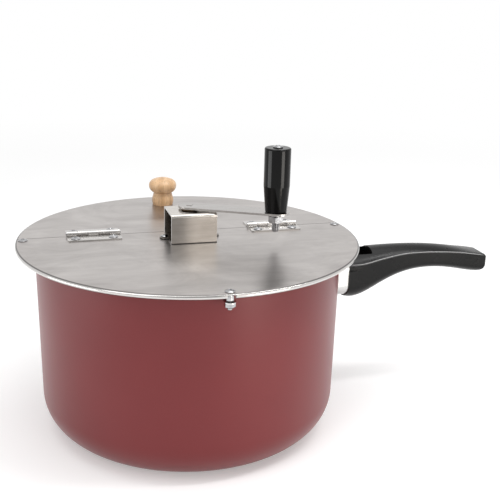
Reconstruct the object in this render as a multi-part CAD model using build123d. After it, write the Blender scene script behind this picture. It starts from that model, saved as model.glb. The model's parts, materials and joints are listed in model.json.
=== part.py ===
from build123d import *
from math import asin, cos, degrees, hypot, radians, sin
import os

# Stovetop popcorn popper: a deep pan with one moulded handle, a flat lid held on by three turn clips,
# a hinged rear flap to fill and pour through, and a hand crank that turns a wire stirrer in the pan.
# Millimetres. Origin at the centre of the pan's flat base, +Z up, +X along the pan handle,
# so the lid's hinge line runs along X and the flap opens towards +Y.

# ---- pan ----
PAN_RADIUS = 120.5  # outside, under the rim
PAN_TAPER = 2.1  # how much smaller the outside is at the base
PAN_HEIGHT = 153.6  # base to the top of the rim
PAN_WALL = 1.5
PAN_FLOOR = 2.0
PAN_CORNER = 31.8  # outside radius between base and wall
RIM_CURL = 2.6  # radius of the rolled rim

# ---- lid ----
LID_MARGIN = 5.7  # clamp screw to the lid's edge
LID_GAUGE = 0.8
LID_REST_GAP = 0.3  # between the lid and the rim that carries it
LID_CURL = 1.8  # radius of the rolled edge
SEAM_Y = 18.0  # where the fixed plate ends and the flap begins
SEAM_GAP = 0.6

# ---- lid clamps ----
CLAMP_STANDOFF = 5.1  # clamp screw outside the pan's rim
CLAMP_ANGLES = {"front": -90.0, "left": 174.0, "right": 6.0}
CLAMP_SCREW_RADIUS = 2.0
CLAMP_SCREW_BELOW = 13.0  # how far the screw reaches below the lid's top
CLAMP_NOTCH = 6.0  # width of the break in the lid's rolled edge at each clamp
CLIP_GAUGE = 1.0
CLIP_WIDTH = 8.0
CLIP_GRIP = 2.2  # how far a clip reaches under the rim
CLIP_TAIL = 5.0  # reach of the clip from its screw to its outer end
CLIP_GAP = 0.4  # between the clip and the rim that it hooks under
CLIP_BORE_CLEARANCE = 0.08

# ---- small fasteners ----
PAN_HEAD_RADIUS = 3.7
PAN_HEAD_HEIGHT = 1.5
SMALL_NUT_FLATS = 7.0
SMALL_NUT_HEIGHT = 3.0
SMALL_SCREW_RADIUS = 2.0
THREAD_PROUD = 1.5  # how far a small screw stands out of its nut
SET_SCREW_SLOT = 0.9
WASHER_GAUGE = 0.8

# ---- hinges ----
HINGE_X = 74.0  # centre of each hinge from the pan's axis
HINGE_LENGTH = 42.0
HINGE_DEPTH = 15.0  # axis to the outer edge of a leaf
HINGE_GAUGE = 0.9
HINGE_CORNER = 1.5
KNUCKLES = 5
KNUCKLE_RADIUS = 1.9
KNUCKLE_GAP = 0.3  # between neighbouring knuckles, and round a knuckle
PIN_HEIGHT = 2.2  # hinge axis above the lid's top
PIN_RADIUS = 1.1
PIN_CLEARANCE = 0.05
PIN_END = 0.5  # how far a pin stands out of its barrel
HINGE_SCREW_SPREAD = 29.4
HINGE_SCREW_SETBACK = 9.5

# ---- knob ----
KNOB_X = -2.0
KNOB_SETBACK = 28.0  # from the flap's edge
KNOB_HEIGHT = 24.5
KNOB_HEAD_RADIUS = 12.3
KNOB_HEAD_LEVEL = 17.3  # height of the widest part of the head
KNOB_SHOULDER_RADIUS = 9.6  # where the side of the head turns into its dome
KNOB_SHOULDER_LEVEL = 22.2
KNOB_NECK_RADIUS = 8.0
KNOB_NECK_LEVEL = 11.2
KNOB_WAIST_RADIUS = 8.75
KNOB_WAIST_LEVEL = 8.1
KNOB_FOOT_RADIUS = 9.5
KNOB_FOOT_LEVEL = 2.7  # height of the widest part of the foot
KNOB_BASE_RADIUS = 8.8
KNOB_SCREW_DEPTH = 14.0
KNOB_WASHER_RADIUS = 5.0

# ---- crank bracket ----
BRACKET_WIDTH = 36.0  # along X
BRACKET_FRONT = -18.6
BRACKET_BACK = 12.4
BRACKET_HEIGHT = 23.3
BRACKET_GAUGE = 1.5
BRACKET_BEND = 2.2
BRACKET_JOINT = 0.2  # between the base and the front wall
BRACKET_EAR_WIDTH = 8.0
BRACKET_SCREW_SPREAD = 40.0  # between the screws in the two ears of the base
BRACKET_HEAD_RADIUS = 2.9

# ---- shaft and its bushes ----
SHAFT_RADIUS = 3.0
SHAFT_CLEARANCE = 0.05
BUSH_FLANGE_RADIUS = 6.5
BUSH_FLANGE = 1.0
BUSH_EDGE_ROUND = 0.4
BUSH_BODY_RADIUS = 4.5
BUSH_BELOW = 2.0  # how far a bush reaches below the sheet that it sits in
SHAFT_SQUARE = 4.2  # side of the square end that drives the arm
SHAFT_PROUD = 0.3
RING_RADIUS = 5.6
RING_GAUGE = 1.0
RING_GROOVE_RADIUS = 2.3
RING_MOUTH = 3.6
RING_GAP = 0.2  # end play between ring and bush

# ---- crank arm and grip ----
CRANK_ANGLE = -27.0  # direction of the arm at rest, from +X
CRANK_REACH = 69.0  # shaft to grip bolt
ARM_WIDTH = 18.0
ARM_GAUGE = 1.6
ARM_TIP = 2.0  # how far the tip's arc is centred beyond the grip bolt
ARM_GAP = 0.2  # between the arm and the bush under it
GRIP_LENGTH = 50.0
GRIP_RADIUS = 10.2
GRIP_FOOT_RADIUS = 8.5
GRIP_TAPER_LENGTH = 20.5
GRIP_ROUND = 1.2
GRIP_GAP = 0.2  # end play between arm, grip and bolt head
GRIP_BOLT_RADIUS = 3.0
GRIP_BOLT_BELOW = 14.5  # below the arm
GRIP_BORE_CLEARANCE = 0.08
GRIP_HEAD_RADIUS = 3.9
GRIP_HEAD_HEIGHT = 1.7
GRIP_NUT_FLATS = 11.0
GRIP_NUT_HEIGHT = 5.4
GRIP_WASHER_RADIUS = 5.2
GRIP_WASHER_GAUGE = 1.5

# ---- stirrer ----
STIRRER_WIRE_RADIUS = 1.5
STIRRER_LEVEL = 3.6  # wire axis above the pan's floor
STIRRER_MARGIN = 2.6  # where the wire starts to rise, inside the edge of the flat base
STIRRER_TIP_REACH = 19.0  # from there to the tip
STIRRER_TIP_RISE = 9.0
STIRRER_ROOT_SHARE = 0.42  # of the flat radius: where each arm starts to trail
STIRRER_SWEEP = 34.0  # how far each arm trails behind its root, degrees
STIRRER_BEND = 40.0
HUB_RADIUS = 7.0
HUB_HEIGHT = 15.0
HUB_CHAMFER = 0.8
HUB_FLOOR_GAP = 1.0
HUB_SCREW_LEVEL = 10.5  # set screw above the hub's foot
SET_SCREW_RADIUS = 2.0

# ---- pan handle: stations along X, each one section of the moulding ----
HANDLE_STANDOFF = 10.8  # from the pan's wall to the handle's root
HANDLE_DROP = 24.9  # from the pan's rim down to the handle's datum, the bevel at its root
HANDLE_BEVEL = 1.3
# x from the root, half width, bevel above the datum, crown above the bevel,
# lowest line below the datum, height of the rounded underside
HANDLE_STATIONS = [
    (0.0, 20.0, 0.0, 8.8, 31.9, 13.0),
    (14.0, 18.6, -0.1, 8.6, 31.7, 13.0),
    (32.0, 15.4, 2.3, 6.9, 23.4, 10.0),
    (53.0, 12.4, 4.4, 5.0, 15.2, 7.5),
    (77.0, 11.4, 4.3, 3.8, 12.0, 6.5),
    (103.0, 11.4, 2.4, 2.0, 14.6, 6.5),
    (131.0, 11.6, -1.9, 0.8, 18.6, 6.5),
]
HANDLE_TIP_TOP_ROUND = 2.2
HANDLE_TIP_HEEL_ROUND = 8.5
POCKET_START = 5.5  # from the root
POCKET_END = 23.7
POCKET_WIDTH = 22.0
POCKET_DROP = 7.7  # from the datum to the pocket's floor
POCKET_ROUND = 1.5
SIDE_GROOVE_LENGTH = 13.0
SIDE_GROOVE_DEPTH = 1.2
SIDE_GROOVE_DROP = 2.8  # from the datum to the groove
SIDE_GROOVE_HEIGHT = 3.0

# ---- handle bracket ----
TONGUE_DROP = 12.7  # from the datum to the middle of the tongue
TONGUE_WIDTH = 15.0
TONGUE_GAUGE = 3.0
TONGUE_LENGTH = 22.0  # inside the handle
TONGUE_CORNER = 4.5
TONGUE_CLEARANCE = 0.2
SADDLE_WIDTH = 32.0
SADDLE_HEIGHT = 14.0
SADDLE_GAUGE = 1.6
RIVET_SPREAD = 23.0
RIVET_RADIUS = 2.4
RIVET_HEAD_RADIUS = 4.6
RIVET_HEAD = 1.4
RIVET_HEAD_ROUND = 0.8
RIVET_TAIL_RADIUS = 3.7  # the end closed over the saddle
RIVET_SEAT_GAP = 0.1  # a flat head in front of a curved wall
GUARD_INSET = 1.2  # guard inside the handle's outline
GUARD_GAUGE = 1.4
GUARD_GAP = 0.1  # guard to pan wall
HANDLE_SCREW_FROM_ROOT = 14.6
HANDLE_SCREW_RADIUS = 2.5
HANDLE_SCREW_HEAD_RADIUS = 4.6
HANDLE_SCREW_HEAD = 2.6

CUT = 1.0  # how far a cutting tool runs past what it cuts

# ---- levels and places that follow from the sizes above ----
RIM_RADIUS = PAN_RADIUS - PAN_WALL + 2 * RIM_CURL
CLAMP_RADIUS = RIM_RADIUS + CLAMP_STANDOFF
CLIP_HOOK = CLAMP_STANDOFF + CLIP_GRIP
LID_RADIUS = CLAMP_RADIUS + LID_MARGIN
KNOB_Y = LID_RADIUS - KNOB_SETBACK
HANDLE_ROOT_X = PAN_RADIUS + HANDLE_STANDOFF
HANDLE_LEVEL = PAN_HEIGHT - HANDLE_DROP
POCKET_FLOOR = HANDLE_LEVEL - POCKET_DROP
TONGUE_LEVEL = HANDLE_LEVEL - TONGUE_DROP
STIRRER_FLAT_RADIUS = PAN_RADIUS - PAN_TAPER - PAN_CORNER - STIRRER_MARGIN
STIRRER_TIP_RADIUS = STIRRER_FLAT_RADIUS + STIRRER_TIP_REACH
LID_UNDER = PAN_HEIGHT + LID_REST_GAP
LID_TOP = LID_UNDER + LID_GAUGE
RIM_UNDER = PAN_HEIGHT - 2 * RIM_CURL
CLIP_TOP = RIM_UNDER - CLIP_GAP
BRACKET_TOP = LID_TOP + BRACKET_HEIGHT
ARM_UNDER = BRACKET_TOP + BUSH_FLANGE + ARM_GAP
ARM_TOP = ARM_UNDER + ARM_GAUGE
GRIP_FOOT = ARM_TOP + GRIP_GAP
HUB_FOOT = PAN_FLOOR + HUB_FLOOR_GAP
WIRE_LEVEL = PAN_FLOOR + STIRRER_LEVEL
PIN_LEVEL = LID_TOP + PIN_HEIGHT
RING_TOP = LID_UNDER - BUSH_BELOW - RING_GAP
TONGUE_TOP = TONGUE_LEVEL + TONGUE_GAUGE / 2

UP = (Align.CENTER, Align.CENTER, Align.MIN)
DOWN = (Align.CENTER, Align.CENTER, Align.MAX)
ALONG_X = Rot(0, 90, 0)  # turns a cylinder from the Z to the X direction


def pan_radius(level):
    """Outside radius of the pan's wall at a height."""
    return PAN_RADIUS - PAN_TAPER * (1 - level / PAN_HEIGHT)


# ---- fasteners ----


def pan_screw(head_radius, head_height, shank_radius, length):
    """Screw with its head's seat at z 0, the domed head above and the shank below."""
    edge = head_height / 3
    outline = [
        Line((0, -length), (shank_radius, -length)),
        Line((shank_radius, -length), (shank_radius, 0)),
        Line((shank_radius, 0), (head_radius, 0)),
        Line((head_radius, 0), (head_radius, edge)),
        RadiusArc((head_radius, edge), (0, head_height), -arc_radius(head_radius, head_height - edge)),
        Line((0, head_height), (0, -length)),
    ]
    return revolve(Plane.XZ * make_face(outline), axis=Axis.Z)


def arc_radius(run, rise):
    """Radius of the arc that starts or ends square to its rise, over such a run."""
    return (run**2 + rise**2) / (2 * rise)


def hex_nut(flats, height, bore_radius):
    """Nut whose upper face is at z 0."""
    return extrude(RegularPolygon(flats / 2, 6, major_radius=False) - Circle(bore_radius), -height)


def washer(outer_radius, bore_radius, gauge):
    """Washer that stands on z 0."""
    return extrude(Circle(outer_radius) - Circle(bore_radius), gauge)


def small_screw(stack, head_radius=PAN_HEAD_RADIUS):
    """Pan-head screw through a stack of sheets, a nut and a little beyond."""
    length = stack + SMALL_NUT_HEIGHT + THREAD_PROUD
    return pan_screw(head_radius, PAN_HEAD_HEIGHT, SMALL_SCREW_RADIUS, length)


def small_nut():
    return hex_nut(SMALL_NUT_FLATS, SMALL_NUT_HEIGHT, SMALL_SCREW_RADIUS)


def placed(shape, places):
    """Copies of one piece, as separate solids of one group."""
    return Compound(children=[place * shape for place in places])


# ---- pan ----


def pan_body():
    base = PAN_RADIUS - PAN_TAPER
    wall_end = PAN_HEIGHT - RIM_CURL
    outer = make_face(
        Polyline((0, 0), (base, 0), (pan_radius(wall_end), wall_end), (0, wall_end), close=True)
    )
    outer = fillet(outer.vertices().sort_by(Axis.Y)[:2].sort_by(Axis.X)[-1], PAN_CORNER)
    over = wall_end + CUT
    inside = Polyline(
        (0, PAN_FLOOR),
        (pan_radius(PAN_FLOOR) - PAN_WALL, PAN_FLOOR),
        (pan_radius(over) - PAN_WALL, over),
        (0, over),
        close=True,
    )
    inner = make_face(inside)
    inner = fillet(inner.vertices().sort_by(Axis.Y)[:2].sort_by(Axis.X)[-1], PAN_CORNER - PAN_WALL)
    rim = Pos(PAN_RADIUS - PAN_WALL + RIM_CURL, wall_end) * Circle(RIM_CURL)
    body = revolve(Plane.XZ * (outer - inner + rim), axis=Axis.Z)
    return body - rivet_shanks()


# ---- handle bracket, guard and handle ----


def rivet_places():
    """Places on the wall, with local X pointing out of the pan along each rivet."""
    turn = degrees(asin(RIVET_SPREAD / 2 / pan_radius(TONGUE_LEVEL)))
    return [Rot(0, 0, side * turn) * Pos(pan_radius(TONGUE_LEVEL), 0, TONGUE_LEVEL) for side in (-1, 1)]


def rivet_shanks():
    reach = PAN_WALL + 2 * RIVET_HEAD + SADDLE_GAUGE
    shank = ALONG_X * Cylinder(RIVET_RADIUS, 2 * reach)
    return placed(shank, rivet_places())


def bracket_rivets():
    """Two rivets: a flat head inside the pan and one on the saddle, inside the guard."""
    inner_seat = -PAN_WALL - RIVET_SEAT_GAP
    outer_seat = SADDLE_GAUGE + RIVET_SEAT_GAP
    inner = Cylinder(RIVET_HEAD_RADIUS, RIVET_HEAD, align=DOWN)
    inner = fillet(inner.edges().group_by(Axis.Z)[0], RIVET_HEAD_ROUND)
    outer = Cylinder(RIVET_TAIL_RADIUS, RIVET_HEAD, align=UP)
    shank = Pos(0, 0, inner_seat) * Cylinder(RIVET_RADIUS, outer_seat - inner_seat, align=UP)
    rivet = Pos(0, 0, inner_seat) * inner + shank + Pos(0, 0, outer_seat) * outer
    return placed(ALONG_X * rivet, rivet_places())


def handle_bracket():
    """Curved saddle riveted to the wall, with a tongue that runs out into the handle."""
    low = TONGUE_LEVEL - SADDLE_HEIGHT / 2
    high = TONGUE_LEVEL + SADDLE_HEIGHT / 2
    section = Polyline(
        (pan_radius(low), low),
        (pan_radius(low) + SADDLE_GAUGE, low),
        (pan_radius(high) + SADDLE_GAUGE, high),
        (pan_radius(high), high),
        close=True,
    )
    arc = 2 * degrees(asin(SADDLE_WIDTH / 2 / pan_radius(TONGUE_LEVEL)))
    saddle = Rot(0, 0, -arc / 2) * revolve(Plane.XZ * make_face(section), axis=Axis.Z, revolution_arc=arc)
    start = pan_radius(TONGUE_LEVEL) + SADDLE_GAUGE / 2
    end = HANDLE_ROOT_X + TONGUE_LENGTH
    tongue = Pos((start + end) / 2, 0, TONGUE_LEVEL) * Box(end - start, TONGUE_WIDTH, TONGUE_GAUGE)
    tongue = fillet(tongue.edges().filter_by(Axis.Z).group_by(Axis.X)[-1], TONGUE_CORNER)
    screw_hole = Pos(HANDLE_ROOT_X + HANDLE_SCREW_FROM_ROOT, 0, TONGUE_LEVEL)
    screw_hole *= Cylinder(HANDLE_SCREW_RADIUS, TONGUE_GAUGE + 2 * CUT)
    return saddle + tongue - screw_hole - rivet_shanks()


def handle_section(station, inset=0.0):
    """Section across the moulding: crowned top, bevels, upright sides, round underside."""
    from_root, width, bevel_rise, crown, depth, belly = station
    side = width - inset
    shoulder = side - HANDLE_BEVEL
    bevel = HANDLE_LEVEL + bevel_rise - inset
    lowest = HANDLE_LEVEL - depth + inset
    foot = HANDLE_LEVEL - depth + belly
    outline = [
        EllipticalCenterArc((0, foot), side, foot - lowest, start_angle=180, arc_size=180),
        Line((side, foot), (side, bevel - HANDLE_BEVEL)),
        Line((side, bevel - HANDLE_BEVEL), (shoulder, bevel)),
        ThreePointArc((shoulder, bevel), (0, bevel + crown), (-shoulder, bevel)),
        Line((-shoulder, bevel), (-side, bevel - HANDLE_BEVEL)),
        Line((-side, bevel - HANDLE_BEVEL), (-side, foot)),
    ]
    across = Plane(origin=(HANDLE_ROOT_X + from_root, 0, 0), x_dir=(0, 1, 0), z_dir=(1, 0, 0))
    return across * make_face(outline)


def flame_guard():
    """Bright tube that fills the space between the pan's wall and the handle's root."""
    root = HANDLE_STATIONS[0]
    profile = handle_section(root, GUARD_INSET) - handle_section(root, GUARD_INSET + GUARD_GAUGE)
    tube = extrude(profile, -(HANDLE_STANDOFF + PAN_CORNER / 2))
    base = PAN_RADIUS - PAN_TAPER + GUARD_GAP
    wall = Cone(base, PAN_RADIUS + GUARD_GAP, PAN_HEIGHT, align=UP)
    return tube - wall


def corner_cutter(radius, top):
    """What rounds off an edge along Y at the origin, of a body that lies towards -X."""
    edge = Align.MIN if top else Align.MAX
    width = 4 * HANDLE_STATIONS[-1][1]
    block = Box(radius + CUT, width, radius + CUT, align=(Align.MIN, Align.CENTER, edge))
    block -= Rot(90, 0, 0) * Cylinder(radius, 2 * width)
    return Pos(-radius, 0, -radius if top else radius) * block


def pan_handle():
    """Moulded handle: deep and wide at the root, waisted and arched to the grip."""
    body = loft([handle_section(station) for station in HANDLE_STATIONS])
    from_root, _, bevel_rise, crown, depth, _ = HANDLE_STATIONS[-1]
    tip = Pos(HANDLE_ROOT_X + from_root, 0, HANDLE_LEVEL)
    body -= tip * Pos(0, 0, bevel_rise + crown) * corner_cutter(HANDLE_TIP_TOP_ROUND, True)
    body -= tip * Pos(0, 0, -depth) * corner_cutter(HANDLE_TIP_HEEL_ROUND, False)
    pocket_length = POCKET_END - POCKET_START
    pocket = extrude(RectangleRounded(pocket_length, POCKET_WIDTH, POCKET_ROUND), PAN_HEIGHT - POCKET_FLOOR)
    body -= Pos(HANDLE_ROOT_X + (POCKET_START + POCKET_END) / 2, 0, POCKET_FLOOR) * pocket
    slot_length = TONGUE_LENGTH + TONGUE_CLEARANCE + CUT
    slot = Box(slot_length, TONGUE_WIDTH + 2 * TONGUE_CLEARANCE, TONGUE_GAUGE + 2 * TONGUE_CLEARANCE)
    body -= Pos(HANDLE_ROOT_X - CUT + slot_length / 2, 0, TONGUE_LEVEL) * slot
    screw_hole = Cylinder(HANDLE_SCREW_RADIUS, POCKET_FLOOR - TONGUE_LEVEL + CUT, align=DOWN)
    body -= Pos(HANDLE_ROOT_X + HANDLE_SCREW_FROM_ROOT, 0, POCKET_FLOOR + CUT) * screw_hole
    groove = Box(2 * SIDE_GROOVE_LENGTH, 2 * SIDE_GROOVE_DEPTH, SIDE_GROOVE_HEIGHT)
    groove_level = HANDLE_LEVEL - SIDE_GROOVE_DROP - SIDE_GROOVE_HEIGHT / 2
    root_half_width = HANDLE_STATIONS[0][1]
    for side in (-1, 1):
        body -= Pos(HANDLE_ROOT_X, side * root_half_width, groove_level) * groove
    return body


def handle_screw():
    """Screw in the pocket, down into the bracket's tongue."""
    length = POCKET_FLOOR - TONGUE_TOP + TONGUE_GAUGE
    screw = pan_screw(HANDLE_SCREW_HEAD_RADIUS, HANDLE_SCREW_HEAD, HANDLE_SCREW_RADIUS, length)
    return Pos(HANDLE_ROOT_X + HANDLE_SCREW_FROM_ROOT, 0, POCKET_FLOOR) * screw


# ---- lid ----


def lid_disc():
    """Whole lid as one disc with a rolled edge; the seam divides it."""
    curl_centre = LID_RADIUS - LID_CURL
    sheet = Pos(curl_centre / 2, LID_TOP - LID_GAUGE / 2) * Rectangle(curl_centre, LID_GAUGE)
    curl = Pos(curl_centre, LID_TOP - LID_CURL) * Circle(LID_CURL)
    return revolve(Plane.XZ * (sheet + curl), axis=Axis.Z)


def half_space(rear):
    """Block that holds everything on one side of the seam."""
    depth = LID_RADIUS + CUT
    edge = SEAM_Y + (SEAM_GAP / 2 if rear else -SEAM_GAP / 2)
    side = Align.MIN if rear else Align.MAX
    size = 2 * depth
    return Pos(0, edge, LID_TOP) * Box(size, size, size, align=(Align.CENTER, side, Align.CENTER))


def clamp_places(level):
    return {
        name: Rot(0, 0, angle) * Pos(CLAMP_RADIUS, 0, level) for name, angle in CLAMP_ANGLES.items()
    }


def hinge_screw_places(rear, level):
    side = 1 if rear else -1
    return [
        Pos(hinge + end * HINGE_SCREW_SPREAD / 2, SEAM_Y + side * HINGE_SCREW_SETBACK, level)
        for hinge in (-HINGE_X, HINGE_X)
        for end in (-1, 1)
    ]


def bracket_screw_places(level):
    return [Pos(end * BRACKET_SCREW_SPREAD / 2, 0, level) for end in (-1, 1)]


def through_holes(places, radius):
    """Drills for a set of places whose level is the lid's top."""
    return placed(Cylinder(radius, 2 * (LID_GAUGE + CUT)), places)


def lid_plate():
    """Fixed front part of the lid, with the holes for what it carries."""
    plate = lid_disc() & half_space(False)
    notch = Box(4 * LID_CURL, CLAMP_NOTCH, 4 * LID_CURL, align=(Align.MIN, Align.CENTER, Align.MAX))
    notch_start = LID_RADIUS - 2 * LID_CURL - CUT - CLAMP_RADIUS
    plate -= placed(Pos(notch_start, 0, 0) * notch, clamp_places(LID_UNDER).values())
    plate -= through_holes(clamp_places(LID_TOP).values(), CLAMP_SCREW_RADIUS)
    plate -= through_holes(hinge_screw_places(False, LID_TOP), SMALL_SCREW_RADIUS)
    plate -= through_holes(bracket_screw_places(LID_TOP), SMALL_SCREW_RADIUS)
    return plate - Pos(0, 0, LID_TOP) * Cylinder(BUSH_BODY_RADIUS, 2 * (LID_GAUGE + CUT))


def lid_flap():
    """Rear part of the lid, which swings up on the two hinges."""
    flap = lid_disc() & half_space(True)
    flap -= through_holes(hinge_screw_places(True, LID_TOP), SMALL_SCREW_RADIUS)
    return flap - through_holes([Pos(KNOB_X, KNOB_Y, LID_TOP)], SMALL_SCREW_RADIUS)


def lid_clip():
    """Turn clip: a flat tab with round ends, its inner end under the pan's rim."""
    radius = CLIP_WIDTH / 2
    hook = Pos(-(CLIP_HOOK - radius), 0) * Circle(radius)
    tail = Pos(CLIP_TAIL - radius, 0) * Circle(radius)
    middle = Pos((CLIP_TAIL - CLIP_HOOK) / 2, 0) * Rectangle(CLIP_HOOK + CLIP_TAIL - CLIP_WIDTH, CLIP_WIDTH)
    bore = Circle(CLAMP_SCREW_RADIUS + CLIP_BORE_CLEARANCE)
    return extrude(hook + tail + middle - bore, -CLIP_GAUGE)


def lid_clamp_screws():
    screw = pan_screw(PAN_HEAD_RADIUS, PAN_HEAD_HEIGHT, CLAMP_SCREW_RADIUS, CLAMP_SCREW_BELOW)
    return placed(screw, clamp_places(LID_TOP).values())


def lid_clamp_nuts():
    nut = hex_nut(SMALL_NUT_FLATS, SMALL_NUT_HEIGHT, CLAMP_SCREW_RADIUS)
    level = CLIP_TOP - CLIP_GAUGE - CLIP_BORE_CLEARANCE
    return placed(nut, clamp_places(level).values())


# ---- hinges ----


def hinge_leaf(rear):
    """One leaf about the hinge axis at y 0, standing on z 0, with its share of the knuckles."""
    side = 1 if rear else -1
    edge = Align.MIN if rear else Align.MAX
    plate = Box(HINGE_LENGTH, HINGE_DEPTH, HINGE_GAUGE, align=(Align.CENTER, edge, Align.MIN))
    outer_corners = plate.edges().filter_by(Axis.Z).sort_by(Axis.Y)
    outer_corners = outer_corners[-2:] if rear else outer_corners[:2]
    leaf = fillet(outer_corners, HINGE_CORNER)
    pitch = HINGE_LENGTH / KNUCKLES
    barrel = Pos(0, 0, PIN_HEIGHT) * ALONG_X * Cylinder(KNUCKLE_RADIUS, pitch - KNUCKLE_GAP)
    notch = Box(pitch + KNUCKLE_GAP, 2 * (PIN_HEIGHT + KNUCKLE_GAP), 4 * HINGE_GAUGE)
    own = 1 if rear else 0
    for index in range(KNUCKLES):
        centre = Pos((index + 0.5) * pitch - HINGE_LENGTH / 2, 0, 0)
        if index % 2 == own:
            leaf += centre * barrel
        else:
            leaf -= centre * notch
    bore = PIN_RADIUS + (PIN_CLEARANCE if rear else 0)
    leaf -= Pos(0, 0, PIN_HEIGHT) * ALONG_X * Cylinder(bore, HINGE_LENGTH + 2 * CUT)
    for end in (-1, 1):
        place = Pos(end * HINGE_SCREW_SPREAD / 2, side * HINGE_SCREW_SETBACK, 0)
        leaf -= place * Cylinder(SMALL_SCREW_RADIUS, 4 * HINGE_GAUGE)
    return leaf


def hinge_pins():
    pin = ALONG_X * Cylinder(PIN_RADIUS, HINGE_LENGTH + 2 * PIN_END)
    return placed(pin, [Pos(x, SEAM_Y, PIN_LEVEL) for x in (-HINGE_X, HINGE_X)])


# ---- knob ----


def lid_knob():
    """Turned wooden knob: flared foot, neck and mushroom head, bored for its screw."""
    outline = [
        Line((0, 0), (KNOB_BASE_RADIUS, 0)),
        ThreePointArc(
            (KNOB_BASE_RADIUS, 0),
            (KNOB_FOOT_RADIUS, KNOB_FOOT_LEVEL),
            (KNOB_WAIST_RADIUS, KNOB_WAIST_LEVEL),
        ),
        Line((KNOB_WAIST_RADIUS, KNOB_WAIST_LEVEL), (KNOB_NECK_RADIUS, KNOB_NECK_LEVEL)),
        RadiusArc(
            (KNOB_NECK_RADIUS, KNOB_NECK_LEVEL),
            (KNOB_HEAD_RADIUS, KNOB_HEAD_LEVEL),
            -arc_radius(KNOB_HEAD_LEVEL - KNOB_NECK_LEVEL, KNOB_HEAD_RADIUS - KNOB_NECK_RADIUS),
        ),
        RadiusArc(
            (KNOB_HEAD_RADIUS, KNOB_HEAD_LEVEL),
            (KNOB_SHOULDER_RADIUS, KNOB_SHOULDER_LEVEL),
            -arc_radius(KNOB_SHOULDER_LEVEL - KNOB_HEAD_LEVEL, KNOB_HEAD_RADIUS - KNOB_SHOULDER_RADIUS),
        ),
        RadiusArc(
            (KNOB_SHOULDER_RADIUS, KNOB_SHOULDER_LEVEL),
            (0, KNOB_HEIGHT),
            -arc_radius(KNOB_SHOULDER_RADIUS, KNOB_HEIGHT - KNOB_SHOULDER_LEVEL),
        ),
        Line((0, KNOB_HEIGHT), (0, 0)),
    ]
    body = revolve(Plane.XZ * make_face(outline), axis=Axis.Z)
    body -= Cylinder(SMALL_SCREW_RADIUS, KNOB_SCREW_DEPTH, align=UP)
    return Pos(KNOB_X, KNOB_Y, LID_TOP) * body


def knob_screw():
    """Screw from under the flap up into the knob."""
    length = WASHER_GAUGE + LID_GAUGE + KNOB_SCREW_DEPTH
    screw = pan_screw(PAN_HEAD_RADIUS, PAN_HEAD_HEIGHT, SMALL_SCREW_RADIUS, length)
    return Pos(KNOB_X, KNOB_Y, LID_UNDER - WASHER_GAUGE) * Rot(180, 0, 0) * screw


def knob_washer():
    ring = washer(KNOB_WASHER_RADIUS, SMALL_SCREW_RADIUS, WASHER_GAUGE)
    return Pos(KNOB_X, KNOB_Y, LID_UNDER - WASHER_GAUGE) * ring


# ---- crank bracket, bushes and shaft ----


def crank_bracket():
    """One strip bent into base, back, top and front, open to the left and the right."""
    line = FilletPolyline(
        (BRACKET_FRONT + BRACKET_GAUGE + BRACKET_JOINT, BRACKET_GAUGE / 2),
        (BRACKET_BACK - BRACKET_GAUGE / 2, BRACKET_GAUGE / 2),
        (BRACKET_BACK - BRACKET_GAUGE / 2, BRACKET_HEIGHT - BRACKET_GAUGE / 2),
        (BRACKET_FRONT + BRACKET_GAUGE / 2, BRACKET_HEIGHT - BRACKET_GAUGE / 2),
        (BRACKET_FRONT + BRACKET_GAUGE / 2, 0),
        radius=BRACKET_BEND - BRACKET_GAUGE / 2,
    )
    strip = extrude(Plane.YZ * trace(line, BRACKET_GAUGE), BRACKET_WIDTH / 2, both=True)
    strip += extrude(SlotCenterToCenter(BRACKET_SCREW_SPREAD, BRACKET_EAR_WIDTH), BRACKET_GAUGE)
    strip -= placed(Cylinder(SMALL_SCREW_RADIUS, 4 * BRACKET_GAUGE), bracket_screw_places(0))
    strip -= Cylinder(BUSH_BODY_RADIUS, 4 * BRACKET_HEIGHT)
    return Pos(0, 0, LID_TOP) * strip


def shaft_bush(sheet):
    """Flanged bush that stands on z 0, in a sheet of the given gauge."""
    flange = Cylinder(BUSH_FLANGE_RADIUS, BUSH_FLANGE, align=UP)
    flange = fillet(flange.edges().group_by(Axis.Z)[-1], BUSH_EDGE_ROUND)
    body = Cylinder(BUSH_BODY_RADIUS, sheet + BUSH_BELOW, align=DOWN)
    return flange + body - Cylinder(SHAFT_RADIUS + SHAFT_CLEARANCE, 8 * (sheet + BUSH_BELOW))


def crank_shaft():
    """Upright shaft with a square top for the arm and a groove for its retaining ring."""
    foot = HUB_FOOT + CUT
    round_part = Pos(0, 0, foot) * Cylinder(SHAFT_RADIUS, ARM_UNDER - foot, align=UP)
    square_height = ARM_GAUGE + SHAFT_PROUD
    square = Pos(0, 0, ARM_UNDER) * Box(SHAFT_SQUARE, SHAFT_SQUARE, square_height, align=UP)
    groove = Cylinder(SHAFT_RADIUS + CUT, RING_GAUGE, align=DOWN)
    groove -= Cylinder(RING_GROOVE_RADIUS, 4 * RING_GAUGE)
    shaft = round_part + Rot(0, 0, CRANK_ANGLE) * square - Pos(0, 0, RING_TOP) * groove
    return shaft - wire_bore()


def retaining_ring():
    """Snap ring in the shaft's groove, under the lid's bush."""
    ring = Circle(RING_RADIUS) - Circle(RING_GROOVE_RADIUS)
    mouth = Pos(RING_RADIUS / 2 + RING_GROOVE_RADIUS / 2, 0) * Rectangle(RING_RADIUS, RING_MOUTH)
    return Pos(0, 0, RING_TOP) * Rot(0, 0, CRANK_ANGLE) * extrude(ring - mouth, -RING_GAUGE)


# ---- crank arm and grip ----


def grip_place(level):
    return Rot(0, 0, CRANK_ANGLE) * Pos(CRANK_REACH, 0, level)


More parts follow.
